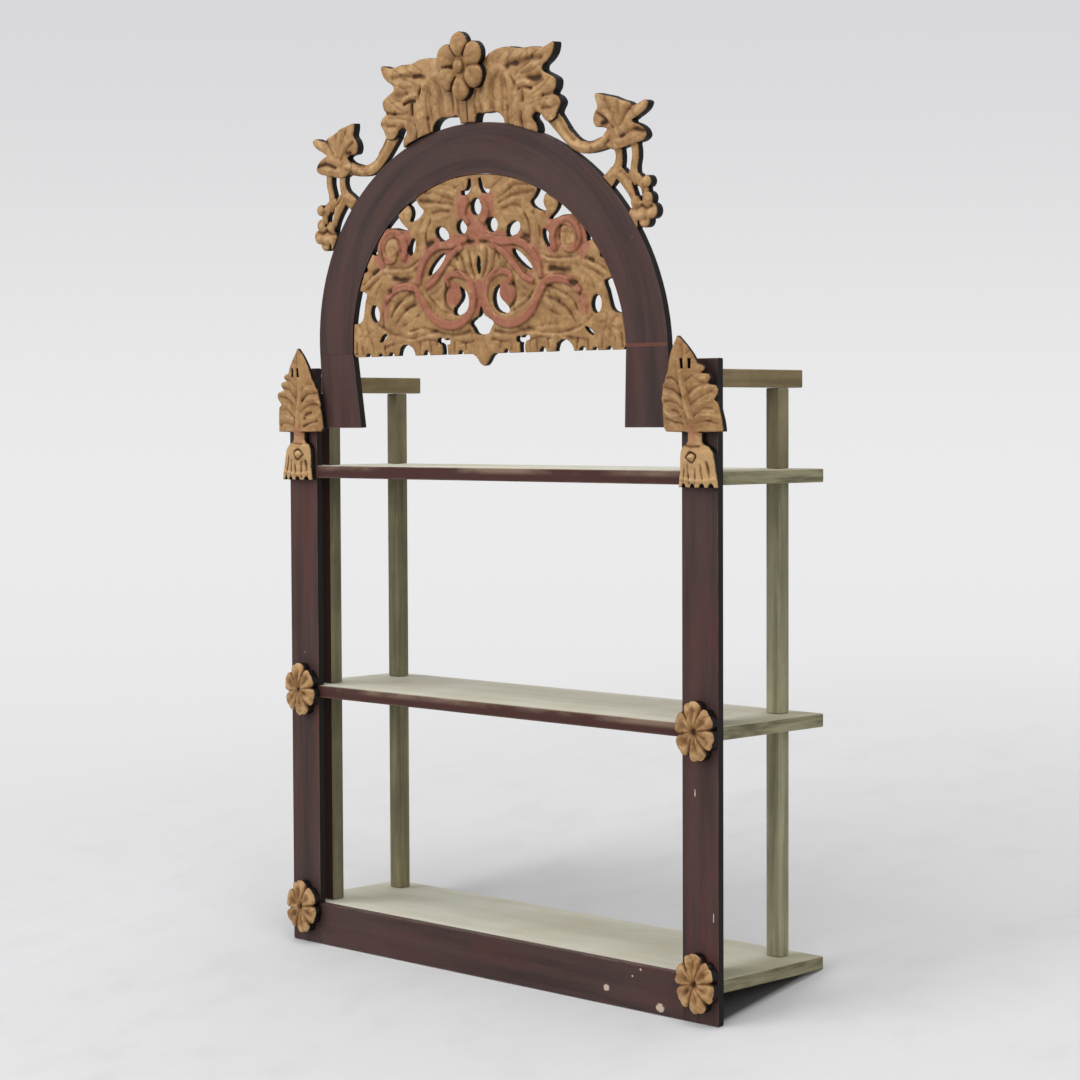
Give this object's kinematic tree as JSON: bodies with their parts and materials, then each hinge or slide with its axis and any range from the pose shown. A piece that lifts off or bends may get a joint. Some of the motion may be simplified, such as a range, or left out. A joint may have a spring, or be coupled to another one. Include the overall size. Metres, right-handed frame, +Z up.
{
  "type": "wall shelf",
  "caption": "Open wall shelf with square posts, a painted face frame, a leaning arch with a pierced carved panel, a carved leaf crest, pendants and rosettes.",
  "frame": {"origin": "middle of the bottom shelf's rear edge, on the wall plane", "axes": "+Z up, +Y into the wall, so the carved face looks along -Y; +X to the right of someone facing the shelf"},
  "size_m": [0.6226, 0.1905, 0.9279],
  "materials": {
    "dark_paint": "worn dark brown paint with a dull sheen",
    "green_paint": "old matt olive grey paint",
    "shelf_paint": "old matt pale grey green paint, rubbed",
    "gilt_carving": "dull old gilding and ochre glaze on carved wood",
    "panel_carving": "dull old gilding with terracotta red scrolls on carved wood"
  },
  "bodies": {
    "root": {"stile_left": "dark_paint", "stile_right": "dark_paint", "apron": "dark_paint", "arch_ring": "dark_paint", "arch_leg_left": "dark_paint", "arch_leg_right": "dark_paint", "shelf_bottom": "shelf_paint", "shelf_middle": "shelf_paint", "shelf_top": "shelf_paint", "post_lower_front_left": "green_paint", "post_lower_front_right": "green_paint", "post_lower_rear_left": "green_paint", "post_lower_rear_right": "green_paint", "post_middle_front_left": "green_paint", "post_middle_front_right": "green_paint", "post_middle_rear_left": "green_paint", "post_middle_rear_right": "green_paint", "post_upper_front_left": "green_paint", "post_upper_front_right": "green_paint", "post_upper_rear_left": "green_paint", "post_upper_rear_right": "green_paint", "side_rail_left": "green_paint", "side_rail_right": "green_paint", "arch_panel": "panel_carving", "crest_left": "gilt_carving", "crest_right": "gilt_carving", "crest_flower": "gilt_carving", "pendant_left": "gilt_carving", "pendant_right": "gilt_carving", "rosette_lower_left": "gilt_carving", "rosette_lower_right": "gilt_carving", "rosette_upper_left": "gilt_carving", "rosette_upper_right": "gilt_carving"}
  },
  "joints": []
}
